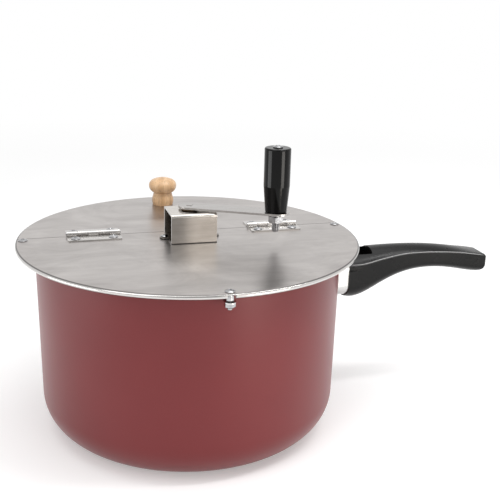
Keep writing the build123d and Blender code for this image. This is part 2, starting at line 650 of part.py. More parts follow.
def crank_arm():
    """Flat bar with round ends, a square hole for the shaft and a round one for the grip bolt."""
    span = CRANK_REACH + ARM_TIP
    outline = Pos(span / 2, 0) * SlotCenterToCenter(span, ARM_WIDTH)
    outline -= Rectangle(SHAFT_SQUARE, SHAFT_SQUARE)
    outline -= Pos(CRANK_REACH, 0) * Circle(GRIP_BOLT_RADIUS)
    bar = extrude(outline, ARM_GAUGE)
    return Pos(0, 0, ARM_UNDER) * Rot(0, 0, CRANK_ANGLE) * bar


def crank_grip():
    """Turned grip: tapered foot, straight body, rounded top edge, bored for the bolt."""
    outline = [
        Line((0, 0), (GRIP_FOOT_RADIUS - GRIP_ROUND / 2, 0)),
        Line((GRIP_FOOT_RADIUS - GRIP_ROUND / 2, 0), (GRIP_FOOT_RADIUS, GRIP_ROUND / 2)),
        Line((GRIP_FOOT_RADIUS, GRIP_ROUND / 2), (GRIP_RADIUS, GRIP_TAPER_LENGTH)),
        Line((GRIP_RADIUS, GRIP_TAPER_LENGTH), (GRIP_RADIUS, GRIP_LENGTH)),
        Line((GRIP_RADIUS, GRIP_LENGTH), (0, GRIP_LENGTH)),
        Line((0, GRIP_LENGTH), (0, 0)),
    ]
    body = revolve(Plane.XZ * make_face(outline), axis=Axis.Z)
    body = fillet(body.edges().group_by(Axis.Z)[-1], GRIP_ROUND)
    bore = Cylinder(GRIP_BOLT_RADIUS + GRIP_BORE_CLEARANCE, 4 * GRIP_LENGTH)
    return grip_place(GRIP_FOOT) * (body - bore)


def grip_bolt():
    """Long screw through the grip and the arm."""
    head_seat = GRIP_FOOT + GRIP_LENGTH + GRIP_GAP
    length = head_seat - ARM_UNDER + GRIP_BOLT_BELOW
    return grip_place(head_seat) * pan_screw(GRIP_HEAD_RADIUS, GRIP_HEAD_HEIGHT, GRIP_BOLT_RADIUS, length)


def grip_washer():
    """Lock washer between the arm and the nut."""
    under = grip_place(ARM_UNDER - GRIP_WASHER_GAUGE)
    return under * washer(GRIP_WASHER_RADIUS, GRIP_BOLT_RADIUS, GRIP_WASHER_GAUGE)


def grip_nut():
    nut = hex_nut(GRIP_NUT_FLATS, GRIP_NUT_HEIGHT, GRIP_BOLT_RADIUS)
    return grip_place(ARM_UNDER - GRIP_WASHER_GAUGE) * nut


# ---- stirrer ----


def wire_bore():
    """Drill for the wire, across the shaft and the hub."""
    across = ALONG_X * Cylinder(STIRRER_WIRE_RADIUS, 4 * HUB_RADIUS)
    return Rot(0, 0, CRANK_ANGLE) * Pos(0, 0, WIRE_LEVEL) * across


def stirrer_hub():
    """Boss on the shaft's foot, cross-drilled for the wire and tapped for the set screw."""
    hub = Cylinder(HUB_RADIUS, HUB_HEIGHT, align=UP)
    rims = hub.edges().group_by(Axis.Z)
    hub = chamfer(rims[0] + rims[-1], HUB_CHAMFER)
    hub -= Pos(0, 0, CUT) * Cylinder(SHAFT_RADIUS, HUB_HEIGHT, align=UP)
    tapped = Cylinder(SET_SCREW_RADIUS, 2 * HUB_RADIUS, align=UP)
    hub -= Pos(0, 0, HUB_SCREW_LEVEL) * Rot(0, 0, CRANK_ANGLE) * Rot(90, 0, 0) * tapped
    return Pos(0, 0, HUB_FOOT) * hub - wire_bore()


def stirrer_set_screw():
    """Grub screw that locks the hub on the shaft."""
    length = HUB_RADIUS - SHAFT_RADIUS
    screw = Pos(0, 0, SHAFT_RADIUS) * Cylinder(SET_SCREW_RADIUS, length, align=UP)
    slot = Pos(0, 0, HUB_RADIUS) * Box(2 * SET_SCREW_RADIUS, SET_SCREW_SLOT, SET_SCREW_SLOT * 2)
    return Pos(0, 0, HUB_FOOT + HUB_SCREW_LEVEL) * Rot(0, 0, CRANK_ANGLE) * Rot(90, 0, 0) * (screw - slot)


def stirrer_wire():
    """One wire through the hub: two arms that trail behind the turn and rise at the pan's corner."""
    trail = radians(STIRRER_SWEEP)
    root = STIRRER_FLAT_RADIUS * STIRRER_ROOT_SHARE
    flat = (STIRRER_FLAT_RADIUS * cos(trail), STIRRER_FLAT_RADIUS * sin(trail), 0)
    outward = (flat[0] - root, flat[1])
    stretch = (STIRRER_TIP_RADIUS - STIRRER_FLAT_RADIUS) / hypot(*outward)
    tip = (flat[0] + outward[0] * stretch, flat[1] + outward[1] * stretch, STIRRER_TIP_RISE)
    points = [tip, flat, (root, 0, 0), (-root, 0, 0), (-flat[0], -flat[1], 0), (-tip[0], -tip[1], tip[2])]
    path = FilletPolyline(*points, radius=[STIRRER_BEND / 2, STIRRER_BEND, STIRRER_BEND, STIRRER_BEND / 2])
    section = Plane(origin=path @ 0, z_dir=path % 0) * Circle(STIRRER_WIRE_RADIUS)
    wire = sweep(section, path=path)
    return Pos(0, 0, WIRE_LEVEL) * Rot(0, 0, CRANK_ANGLE) * wire


# ---- the whole popper ----


def nodes():
    """Every node of the popper by name, at rest and in place."""
    bracket_stack = BRACKET_GAUGE + LID_GAUGE
    hinge_stack = HINGE_GAUGE + LID_GAUGE
    made = {
        "pan_body": pan_body(),
        "handle_bracket": handle_bracket(),
        "bracket_rivets": bracket_rivets(),
        "flame_guard": flame_guard(),
        "pan_handle": pan_handle(),
        "handle_screw": handle_screw(),
        "lid_plate": lid_plate(),
        "lid_clamp_screws": lid_clamp_screws(),
        "lid_clamp_nuts": lid_clamp_nuts(),
        "hinge_pins": hinge_pins(),
        "front_hinge_screws": placed(
            small_screw(hinge_stack), hinge_screw_places(False, LID_TOP + HINGE_GAUGE)
        ),
        "front_hinge_nuts": placed(small_nut(), hinge_screw_places(False, LID_UNDER)),
        "crank_bracket": crank_bracket(),
        "bracket_screws": placed(
            small_screw(bracket_stack, BRACKET_HEAD_RADIUS),
            bracket_screw_places(LID_TOP + BRACKET_GAUGE),
        ),
        "bracket_nuts": placed(small_nut(), bracket_screw_places(LID_UNDER)),
        "upper_bush": Pos(0, 0, BRACKET_TOP) * shaft_bush(BRACKET_GAUGE),
        "lower_bush": Pos(0, 0, LID_TOP + BRACKET_GAUGE) * shaft_bush(bracket_stack),
        "lid_flap": lid_flap(),
        "rear_hinge_screws": placed(
            small_screw(hinge_stack), hinge_screw_places(True, LID_TOP + HINGE_GAUGE)
        ),
        "rear_hinge_nuts": placed(small_nut(), hinge_screw_places(True, LID_UNDER)),
        "lid_knob": lid_knob(),
        "knob_screw": knob_screw(),
        "knob_washer": knob_washer(),
        "crank_arm": crank_arm(),
        "crank_shaft": crank_shaft(),
        "retaining_ring": retaining_ring(),
        "stirrer_hub": stirrer_hub(),
        "stirrer_set_screw": stirrer_set_screw(),
        "stirrer_wire": stirrer_wire(),
        "grip_bolt": grip_bolt(),
        "grip_nut": grip_nut(),
        "grip_washer": grip_washer(),
        "crank_grip": crank_grip(),
    }
    for name, place in clamp_places(CLIP_TOP).items():
        made[f"{name}_lid_clip"] = place * lid_clip()
    for name, x in (("left", -HINGE_X), ("right", HINGE_X)):
        made[f"{name}_hinge_front_leaf"] = Pos(x, SEAM_Y, LID_TOP) * hinge_leaf(False)
        made[f"{name}_hinge_rear_leaf"] = Pos(x, SEAM_Y, LID_TOP) * hinge_leaf(True)
    return made


os.makedirs("parts", exist_ok=True)
for node, shape in nodes().items():
    export_step(shape, f"parts/{node}.step")
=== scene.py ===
import bmesh
import bpy
import json
import math
from mathutils import Matrix, Vector


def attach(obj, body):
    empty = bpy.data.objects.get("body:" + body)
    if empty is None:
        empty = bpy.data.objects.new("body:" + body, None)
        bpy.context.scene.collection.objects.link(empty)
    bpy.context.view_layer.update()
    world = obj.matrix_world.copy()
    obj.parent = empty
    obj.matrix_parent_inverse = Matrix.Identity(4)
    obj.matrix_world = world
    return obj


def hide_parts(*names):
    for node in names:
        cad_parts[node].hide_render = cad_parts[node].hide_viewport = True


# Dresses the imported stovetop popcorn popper. Metres, in the part's own frame: the origin is the
# centre of the pan's base, +X runs along the pan handle and +Y towards the opening flap.

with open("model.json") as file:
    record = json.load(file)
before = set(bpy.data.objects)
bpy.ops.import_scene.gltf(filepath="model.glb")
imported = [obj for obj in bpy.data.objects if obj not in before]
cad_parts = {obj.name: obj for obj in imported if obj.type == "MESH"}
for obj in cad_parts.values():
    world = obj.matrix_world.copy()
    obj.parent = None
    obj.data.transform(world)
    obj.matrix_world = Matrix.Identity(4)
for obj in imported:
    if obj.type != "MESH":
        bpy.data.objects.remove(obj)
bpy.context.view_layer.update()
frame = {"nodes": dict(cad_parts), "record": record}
nodes = frame["nodes"]


# ---- node materials ----


def shader_of(tree):
    return next(n for n in tree.nodes if n.type == "BSDF_PRINCIPLED")


def new_material(name):
    material = bpy.data.materials.new(name)
    material.use_nodes = True
    tree = material.node_tree
    return material, tree, shader_of(tree)


def set_inputs(shader, **values):
    for key, value in values.items():
        shader.inputs[key.replace("_", " ")].default_value = value


def coordinates(tree, scale=(1, 1, 1), turn=(0, 0, 0), shift=(0, 0, 0)):
    """The object's own coordinates, which are the part's frame, stretched for a pattern."""
    source = tree.nodes.new("ShaderNodeTexCoord")
    mapping = tree.nodes.new("ShaderNodeMapping")
    mapping.inputs["Scale"].default_value = scale
    mapping.inputs["Rotation"].default_value = turn
    mapping.inputs["Location"].default_value = shift
    tree.links.new(source.outputs["Object"], mapping.inputs["Vector"])
    return mapping.outputs["Vector"]


def own_axes(tree, scale=1.0):
    """Sockets X, Y and Z of the object's own coordinates."""
    split = tree.nodes.new("ShaderNodeSeparateXYZ")
    tree.links.new(coordinates(tree, (scale, scale, scale)), split.inputs["Vector"])
    return split.outputs


def distance_from(tree, vector):
    """Length of a vector: how far a point lies from the origin."""
    node = tree.nodes.new("ShaderNodeVectorMath")
    node.operation = "LENGTH"
    tree.links.new(vector, node.inputs[0])
    return node.outputs["Value"]


def noise(tree, vector, scale, detail=3.0, roughness=0.5, distortion=0.0):
    node = tree.nodes.new("ShaderNodeTexNoise")
    node.inputs["Scale"].default_value = scale
    node.inputs["Detail"].default_value = detail
    node.inputs["Roughness"].default_value = roughness
    node.inputs["Distortion"].default_value = distortion
    tree.links.new(vector, node.inputs["Vector"])
    return node.outputs["Fac"]


def ramp(tree, value, stops):
    """Colour ramp over (position, colour) stops; a colour may be one grey number."""
    node = tree.nodes.new("ShaderNodeValToRGB")
    elements = node.color_ramp.elements
    while len(elements) < len(stops):
        elements.new(0.5)
    for element, (position, colour) in zip(elements, stops):
        element.position = position
        element.color = (*([colour] * 3 if isinstance(colour, float) else colour), 1)
    tree.links.new(value, node.inputs["Fac"])
    return node.outputs["Color"]


def remap(tree, value, low, high):
    """Stretches a 0 to 1 value to low to high."""
    node = tree.nodes.new("ShaderNodeMapRange")
    node.inputs["To Min"].default_value = low
    node.inputs["To Max"].default_value = high
    tree.links.new(value, node.inputs["Value"])
    return node.outputs["Result"]


def ramp_between(tree, value, start, end):
    """0 up to start, 1 from end, smooth between."""
    node = tree.nodes.new("ShaderNodeMapRange")
    node.interpolation_type = "SMOOTHSTEP"
    node.inputs["From Min"].default_value = start
    node.inputs["From Max"].default_value = end
    tree.links.new(value, node.inputs["Value"])
    return node.outputs["Result"]


def math_node(tree, operation, a, b=None):
    node = tree.nodes.new("ShaderNodeMath")
    node.operation = operation
    for index, value in enumerate((a, b)):
        if value is None:
            continue
        if isinstance(value, (int, float)):
            node.inputs[index].default_value = value
        else:
            tree.links.new(value, node.inputs[index])
    return node.outputs[0]


def weighted(tree, *parts):
    """Sum of (value, share) parts."""
    total = None
    for value, share in parts:
        part = math_node(tree, "MULTIPLY", value, share)
        total = part if total is None else math_node(tree, "ADD", total, part)
    return total


def mix_colours(tree, factor, a, b, blend="MIX"):
    node = tree.nodes.new("ShaderNodeMix")
    node.data_type = "RGBA"
    node.blend_type = blend
    node.clamp_factor = True
    sockets = [s for s in node.inputs if s.type == "RGBA"]
    for socket, value in zip(sockets, (a, b)):
        if isinstance(value, tuple):
            socket.default_value = (*value, 1)
        else:
            tree.links.new(value, socket)
    if isinstance(factor, (int, float)):
        node.inputs["Factor"].default_value = factor
    else:
        tree.links.new(factor, node.inputs["Factor"])
    return next(s for s in node.outputs if s.type == "RGBA")


def bump(tree, shader, height, strength, distance, under=None):
    node = tree.nodes.new("ShaderNodeBump")
    node.inputs["Strength"].default_value = strength
    node.inputs["Distance"].default_value = distance
    tree.links.new(height, node.inputs["Height"])
    if under:
        tree.links.new(under, node.inputs["Normal"])
    tree.links.new(node.outputs["Normal"], shader.inputs["Normal"])


def crowned(tree, half_width, slope):
    """Normal of a bent sheet that is slightly crowned across X, with that slope at its edges."""
    across = own_axes(tree, 1 / half_width)["X"]
    node = tree.nodes.new("ShaderNodeBump")
    node.invert = True
    node.inputs["Distance"].default_value = slope * half_width / 2
    tree.links.new(math_node(tree, "MULTIPLY", across, across), node.inputs["Height"])
    return node.outputs["Normal"]


def beyond_radius(tree, start, end):
    """1 beyond a distance from the Z axis, such as on the lid's rolled edge."""
    return ramp_between(tree, distance_from(tree, coordinates(tree, (1, 1, 0))), start, end)


def steel(name, dark, light, roughness, grain, clouds_share=0.35, edge=None, crown=None):
    """Stainless sheet: fine scratches along X, cloudy handling marks, uneven gloss.

    edge is where a rolled edge begins and ends, as distances from the Z axis; a thin ring just
    inside it is painted dark as shade, and the roll is lighter, partly as a painted highlight.
    crown is a sheet's half width along X and its slope there.
    """
    material, tree, shader = new_material(name)
    set_inputs(shader, Metallic=1.0)
    scratches = noise(tree, coordinates(tree, (3, 170, 170)), 9.0, 4.0, 0.65)
    bands = noise(tree, coordinates(tree, (0.5, 9, 9)), 9.0, 3.0, 0.6)
    clouds = noise(tree, coordinates(tree, (0.7, 1.2, 1), (0, 0, 0.3)), 27.0, 6.0, 0.68, 1.3)
    brushed = 1 - clouds_share
    tone = weighted(tree, (scratches, 0.45 * brushed), (bands, 0.55 * brushed), (clouds, clouds_share))
    colour = ramp(tree, tone, [(0.36, dark), (0.62, light)])
    low, high = roughness
    gloss = remap(tree, weighted(tree, (scratches, 0.4), (clouds, 0.6)), low, high)
    if edge:
        start, end = edge
        # painted shade: a thin ring just inside the rolled edge is coloured dark where the roll begins
        crease_shade = beyond_radius(tree, start - 0.001, start - 0.0003)
        colour = mix_colours(tree, crease_shade, colour, (0.13, 0.125, 0.12))
        # the rolled edge is polished and glossier, and lighter in colour; the lighter colour is partly a
        # painted highlight
        rolled = beyond_radius(tree, start, end)
        colour = mix_colours(tree, rolled, colour, (0.60, 0.585, 0.57))
        gloss = math_node(tree, "MULTIPLY", gloss, remap(tree, rolled, 1.0, 0.4))
    tree.links.new(colour, shader.inputs["Base Color"])
    tree.links.new(gloss, shader.inputs["Roughness"])
    bump(tree, shader, scratches, grain, 0.00008, crowned(tree, *crown) if crown else None)
    return material


BRACKET_HALF_WIDTH = 0.018
BRACKET_INNER_MIDDLE, BRACKET_INNER_HALF, BRACKET_INNER_TOP = -0.0031, 0.01405, 0.17655
BRACKET_FOOT, BRACKET_EAR_TOP = 0.1553, 0.1563
SHEARED_SKIN = 0.00005


def bracket_steel():
    """Brushed strip with painted shade inside, a painted highlight on its cut ends, and painted shadow where
    it meets the lid.
    """
    material = steel(
        "polished_bracket_steel", (0.50, 0.47, 0.43), (0.70, 0.665, 0.62), (0.08, 0.2), 0.12,
        crown=(BRACKET_HALF_WIDTH, 0.11))
    tree = material.node_tree
    shader = shader_of(tree)
    axes = own_axes(tree)
    level = axes["Z"]
    from_middle = math_node(tree, "ABSOLUTE", math_node(tree, "SUBTRACT", axes["Y"], BRACKET_INNER_MIDDLE))
    between_walls = math_node(tree, "LESS_THAN", from_middle, BRACKET_INNER_HALF)
    under_top = math_node(tree, "LESS_THAN", level, BRACKET_INNER_TOP)
    inside = math_node(tree, "MULTIPLY", between_walls, under_top)
    from_centre = math_node(tree, "ABSOLUTE", axes["X"])
    at_end = math_node(tree, "GREATER_THAN", from_centre, BRACKET_HALF_WIDTH - SHEARED_SKIN)
    above_ears = math_node(tree, "GREATER_THAN", level, BRACKET_EAR_TOP)
    sheared_highlight = math_node(tree, "MULTIPLY", at_end, above_ears)
    foot_shadow = math_node(tree, "LESS_THAN", level, BRACKET_FOOT)
    colour = shader.inputs["Base Color"].links[0].from_socket
    # painted shade inside the channel, a painted near-white highlight on the cut ends, and a painted shadow
    # line along the foot where it meets the lid
    for where, tint in (
        (inside, (0.24, 0.22, 0.20)), (sheared_highlight, (0.88, 0.87, 0.86)), (foot_shadow, (0.05, 0.047, 0.045))
    ):
        colour = mix_colours(tree, where, colour, tint)
    tree.links.new(colour, shader.inputs["Base Color"])
    gloss = shader.inputs["Roughness"].links[0].from_socket
    gloss = math_node(tree, "MAXIMUM", gloss, math_node(tree, "MULTIPLY", sheared_highlight, 0.5))
    tree.links.new(gloss, shader.inputs["Roughness"])
    return material


def paint(name):
    """Satin burgundy enamel with a faint metal fleck and slight orange peel."""
    material, tree, shader = new_material(name)
    set_inputs(shader, Metallic=0.1, Specular_IOR_Level=0.35, Coat_Weight=0.18, Coat_Roughness=0.2)
    here = coordinates(tree)
    fleck = noise(tree, here, 2600.0, 2.0, 0.5)
    drift = noise(tree, here, 11.0, 3.0, 0.5)
    base = ramp(tree, drift, [(0.3, (0.154, 0.014, 0.016)), (0.7, (0.172, 0.018, 0.020))])
    colour = mix_colours(tree, remap(tree, fleck, -0.35, 0.55), base, (0.215, 0.031, 0.032))
    tree.links.new(colour, shader.inputs["Base Color"])
    tree.links.new(remap(tree, drift, 0.34, 0.44), shader.inputs["Roughness"])
    bump(tree, shader, noise(tree, here, 620.0, 2.0, 0.5), 0.08, 0.00006)
    return material


def lining():
    """Dark nonstick coating with a light speckle."""
    material, tree, shader = new_material("nonstick_lining")
    here = coordinates(tree)
    speckle = noise(tree, here, 1500.0, 1.0, 0.5)
    cloud = noise(tree, here, 22.0, 4.0, 0.6)
    dots = ramp(tree, speckle, [(0.66, 0.022), (0.72, 0.11)])
    colour = mix_colours(tree, remap(tree, cloud, 0.0, 0.5), dots, (0.035, 0.033, 0.032))
    tree.links.new(colour, shader.inputs["Base Color"])
    tree.links.new(remap(tree, cloud, 0.36, 0.5), shader.inputs["Roughness"])
    bump(tree, shader, speckle, 0.1, 0.00005)
    return material


def moulded_plastic(name, shade, roughness, texture, scale, specular=0.5):
    """Black moulding: fine spark texture, slightly uneven gloss from handling."""
    material, tree, shader = new_material(name)
    set_inputs(shader, Specular_IOR_Level=specular)
    here = coordinates(tree)
    spark = noise(tree, here, scale, 3.0, 0.6)
    rubbed = noise(tree, here, 38.0, 4.0, 0.6)
    colour = ramp(tree, spark, [(0.35, shade * 0.8), (0.65, shade * 1.25)])
    tree.links.new(colour, shader.inputs["Base Color"])
    low, high = roughness
    tree.links.new(remap(tree, rubbed, low, high), shader.inputs["Roughness"])
    bump(tree, shader, spark, texture, 0.00006)
    return material


def beech(name):
    """Turned beech under clear lacquer: long grain with the short dark flecks of the wood."""
    material, tree, shader = new_material(name)
    set_inputs(shader, Coat_Weight=0.3, Coat_Roughness=0.2)
    tilt = (0.12, 0.2, 0.5)
    rings = noise(tree, coordinates(tree, (60, 24, 9), tilt, (0.3, 0.1, 0)), 2.4, 3.0, 0.55, 0.8)
    pores = noise(tree, coordinates(tree, (900, 900, 70), tilt), 1.0, 3.0, 0.7)
    wave = tree.nodes.new("ShaderNodeTexWave")
    wave.inputs["Scale"].default_value = 46.0
    wave.inputs["Distortion"].default_value = 5.0
    wave.inputs["Detail"].default_value = 3.0
    tree.links.new(coordinates(tree, (1, 0.6, 0.25), tilt), wave.inputs["Vector"])
    grain = mix_colours(
        tree, 0.35, ramp(tree, rings, [(0.3, (0.54, 0.315, 0.15)), (0.7, (0.76, 0.50, 0.28))]),
        ramp(tree, wave.outputs["Fac"], [(0.1, (0.58, 0.34, 0.165)), (0.9, (0.78, 0.53, 0.31))]))
    fleck = ramp(tree, pores, [(0.36, 0.55), (0.5, 1.0)])
    colour = mix_colours(tree, 0.6, grain, fleck, "MULTIPLY")
    tree.links.new(colour, shader.inputs["Base Color"])
    tree.links.new(remap(tree, pores, 0.46, 0.34), shader.inputs["Roughness"])
    bump(tree, shader, pores, 0.12, 0.00008)
    return material


def plated(name, dark, light, roughness):
    """Plated or drawn metal of small parts: bright, with light handling marks."""
    material, tree, shader = new_material(name)
    set_inputs(shader, Metallic=1.0)
    here = coordinates(tree)
    marks = noise(tree, here, 260.0, 4.0, 0.6)
    colour = ramp(tree, marks, [(0.3, dark), (0.7, light)])
    tree.links.new(colour, shader.inputs["Base Color"])
    low, high = roughness
    tree.links.new(remap(tree, marks, low, high), shader.inputs["Roughness"])
    bump(tree, shader, noise(tree, here, 900.0, 2.0, 0.5), 0.06, 0.00004)
    return material


LID_STEEL = steel(
    "brushed_lid_steel", (0.375, 0.348, 0.334), (0.535, 0.506, 0.488), (0.21, 0.43), 0.1,
    clouds_share=0.6, edge=(0.1342, 0.1347))
BRACKET_STEEL = bracket_steel()
ARM_STEEL = steel("crank_arm_steel", (0.38, 0.36, 0.345), (0.50, 0.48, 0.465), (0.16, 0.34), 0.1)
HINGE_STEEL = steel("hinge_steel", (0.47, 0.455, 0.44), (0.64, 0.625, 0.61), (0.12, 0.3), 0.1)
BRIGHT_STEEL = steel("bright_sheet_steel", (0.50, 0.495, 0.485), (0.68, 0.675, 0.67), (0.12, 0.28), 0.08)
PAN_PAINT = paint("burgundy_enamel")
PAN_LINING = lining()
HANDLE_PLASTIC = moulded_plastic("black_handle_moulding", 0.004, (0.2, 0.34), 0.1, 2400.0, 0.21)
# light grey plastic for the bead on the handle's bevel: a painted highlight along its edge
EDGE_HIGHLIGHT_PLASTIC = moulded_plastic("handle_edge_painted_highlight", 0.26, (0.12, 0.22), 0.02, 2400.0)
GRIP_PLASTIC = moulded_plastic("black_grip_gloss", 0.002, (0.05, 0.12), 0.02, 1800.0, 0.17)
KNOB_WOOD = beech("beech_knob")
PLATED = plated("plated_fasteners", (0.30, 0.30, 0.305), (0.52, 0.52, 0.53), (0.06, 0.18))
DRAWN_WIRE = plated("drawn_wire", (0.50, 0.50, 0.50), (0.68, 0.68, 0.68), (0.2, 0.36))
BUSH_METAL = plated("oiled_bronze_bush", (0.10, 0.07, 0.045), (0.20, 0.14, 0.09), (0.3, 0.45))

LOOKS = {
    "pan": PAN_PAINT,
    "handle": HANDLE_PLASTIC,
    "grip": GRIP_PLASTIC,
    "knob": KNOB_WOOD,
    "lid": LID_STEEL,
    "bracket": BRACKET_STEEL,
    "bright_steel": BRIGHT_STEEL,
    "bush": BUSH_METAL,
    "wire": DRAWN_WIRE,
    "fastener": PLATED,
}

OWN_LOOKS = {
    "crank_arm": ARM_STEEL,
    "crank_shaft": ARM_STEEL,
    "flame_guard": BRIGHT_STEEL,
    "left_hinge_front_leaf": HINGE_STEEL,
    "left_hinge_rear_leaf": HINGE_STEEL,
    "right_hinge_front_leaf": HINGE_STEEL,
    "right_hinge_rear_leaf": HINGE_STEEL,
}

slot_of = {part["node"]: part["material_slot"] for part in frame["record"]["subparts"]}
for name, node in nodes.items():
    look = OWN_LOOKS.get(name, LOOKS[slot_of[name]])
    if not node.material_slots:
        node.data.materials.append(look)
    for material_slot in node.material_slots:
        material_slot.material = look


# ---- pieces finer than their solids ----

PAN_RADIUS, PAN_TAPER, PAN_HEIGHT = 0.1205, 0.0021, 0.1536
PAN_WALL, PAN_FLOOR, PAN_CORNER, RIM_CURL = 0.0015, 0.002, 0.0318, 0.0026
LID_TOP, LID_UNDER = 0.1547, 0.1539
HINGE_X, HINGE_Y, HINGE_LEAF = 0.074, 0.018, 0.0009
HINGE_SCREW_SPREAD, HINGE_SCREW_SETBACK = 0.0147, 0.0095
BRACKET_EAR_REACH, BRACKET_GAUGE = 0.02, 0.0015
CLAMP_RADIUS, CLAMP_NUT_LEVEL = 0.1293, 0.14692
CLAMP_ANGLES = (-90.0, 174.0, 6.0)
COLLAR_BORE, COLLAR_RADIUS, COLLAR_LENGTH, COLLAR_BEVEL = 0.0018, 0.0029, 0.0054, 0.0003
HANDLE_SCREW_X, HANDLE_SCREW_SEAT = 0.1459, 0.121
KNOB_X, KNOB_Y, KNOB_SCREW_SEAT = -0.002, 0.107, 0.1531
CRANK_ANGLE, CRANK_REACH = -27.0, 0.069
GRIP_HEAD_SEAT, ARM_NUT_LEVEL = 0.2312, 0.1777
SMALL_HEAD_HEIGHT, SMALL_SHANK, SMALL_PITCH = 0.0015, 0.002, 0.0007
SMALL_NUT_FLATS, SMALL_NUT_HEIGHT = 0.007, 0.003
WIDE_HEAD, BRACKET_HEAD = 0.0037, 0.0029
RECESS_DRIFT = 900  # degrees per metre along X, so that no two recesses in a row lie alike


def arc(centre, radius, start, end, steps):
    """(radius, height) points along an arc; angles in degrees."""
    angles = (math.radians(start + (end - start) * i / steps) for i in range(steps + 1))
    return [(centre[0] + radius * math.cos(a), centre[1] + radius * math.sin(a)) for a in angles]


def turned(grown, profile, segments=40, material=0):
    """Adds the surface that (radius, height) points sweep round Z."""
    rings = []
    for radius, height in profile:
        count = segments if radius > 1e-7 else 1
        turns = (2 * math.pi * i / segments for i in range(count))
        rings.append([grown.verts.new((radius * math.cos(a), radius * math.sin(a), height)) for a in turns])
    for lower, upper in zip(rings, rings[1:]):
        for i in range(segments):
            corners = (lower[i % len(lower)], lower[(i + 1) % len(lower)],
                       upper[(i + 1) % len(upper)], upper[i % len(upper)])
            face = grown.faces.new(list(dict.fromkeys(corners)))
            face.material_index = material


def carved(grown, cutters, operation):
    """Mesh of a closed shape after a boolean with each cutter."""
    made = []
    for source in (grown, *cutters):
        mesh = bpy.data.meshes.new("carving")
        source.to_mesh(mesh)
        made.append(bpy.data.objects.new("carving", mesh))
        bpy.context.scene.collection.objects.link(made[-1])
    for cutter in made[1:]:
        modifier = made[0].modifiers.new("carve", "BOOLEAN")
        modifier.operation, modifier.solver, modifier.object = operation, "EXACT", cutter
    result = bpy.data.meshes.new_from_object(made[0].evaluated_get(bpy.context.evaluated_depsgraph_get()))
    for helper in made:
        bpy.data.objects.remove(helper)
    return result


def recess_wedges(reach, width, top, depth):
    """Two crossed wedges that cut a cross recess into a screw head."""
    wedges = []
    for turn in (0, math.pi / 2):
        wedge = bmesh.new()
        bmesh.ops.create_cube(wedge, size=1)
        for vert in wedge.verts:
            deep = vert.co.z < 0
            vert.co.x *= 2 * reach * (0.4 if deep else 1.25)
            vert.co.y *= width * (0.7 if deep else 1.2)
            vert.co.z = top - depth if deep else top + depth / 2
        bmesh.ops.rotate(wedge, matrix=Matrix.Rotation(turn, 3, "Z"), verts=wedge.verts)
        wedges.append(wedge)
    return wedges


def thread(grown, root, crest, pitch, low, high, steps=18):
    """Adds a helical ridge round a shank, which fades in and out at its ends."""
    count = int((high - low) / pitch * steps)
    sections = []
    for i in range(count + 1):
        angle, level = 2 * math.pi * i / steps, low + pitch * i / steps
        fade = max(0.05, min(1, 2 * i / steps, 2 * (count - i) / steps))
        sunk = root - (crest - root) * 0.3
        sections.append([
            grown.verts.new((r * math.cos(angle), r * math.sin(angle), level + rise))
            for r, rise in ((sunk, -0.46 * pitch), (root + (crest - root) * fade, 0), (sunk, 0.46 * pitch))
        ])
    for near, far in zip(sections, sections[1:]):
        for j in range(3):
            k = (j + 1) % 3
            grown.faces.new((near[j], far[j], far[k], near[k]))
    grown.faces.new(sections[0][::-1])
    grown.faces.new(sections[-1])


def screw_mesh(head_radius, head_height, shank, length, threaded, pitch):
    """Domed head with a cross recess, seated at z 0, over a shank whose lower part is threaded."""
    edge = head_height / 3
    rise = head_height - edge
    dome = (head_radius**2 + rise**2) / (2 * rise)
    low = head_height - dome
    start = math.degrees(math.atan2(edge - low, head_radius))
    bevel = 0.00015
    head = bmesh.new()
    crown = arc((0, low), dome, start, 89, 9)
    turned(head, [(0, 0), (head_radius - bevel, 0), (head_radius, bevel), *crown, (0, head_height)])
    recess = recess_wedges(head_radius * 0.5, head_radius * 0.24, head_height, head_height * 0.62)
    grown = bmesh.new()
    grown.from_mesh(carved(head, recess, "DIFFERENCE"))
    root = shank - pitch * 0.45
    plain = -length + threaded
    if threaded < length:
        step = [(root, plain - bevel), (shank, plain + bevel)]
        turned(grown, [(0, plain - bevel), *step, (shank, bevel), (0, bevel)], 24)
    point = pitch * 0.5
    lower = [(0, -length), (root - point, -length), (root, point - length), (root, plain), (0, plain)]
    turned(grown, lower, 24)
    thread(grown, root, shank, pitch, -length + pitch, plain - pitch * 0.5)
    return grown


def nut_mesh(flats, height):
    """Hexagon nut with both faces chamfered at the corners; its upper face is at z 0."""
    corner = flats / math.sqrt(3)
    face = flats * 0.47
    reach = corner * 1.02
    rise = (reach - face) * math.tan(math.radians(30))
    spare = height * 0.1
    prism = bmesh.new()
    turned(prism, [(0, -height - spare), (corner, -height - spare), (corner, spare), (0, spare)], 6)
    cone = bmesh.new()
    profile = [(0, -height), (face, -height), (reach, rise - height), (reach, -rise), (face, 0), (0, 0)]
    turned(cone, profile, 48)
    grown = bmesh.new()
    grown.from_mesh(carved(prism, [cone], "INTERSECT"))
    return grown


def place_at(x, y, z, turn=0.0, over=False):
    """Where a master stands: turned about Z, or upside down."""
    flip = Matrix.Rotation(math.pi if over else 0, 4, "X")
    return Matrix.Translation((x, y, z)) @ Matrix.Rotation(math.radians(turn), 4, "Z") @ flip


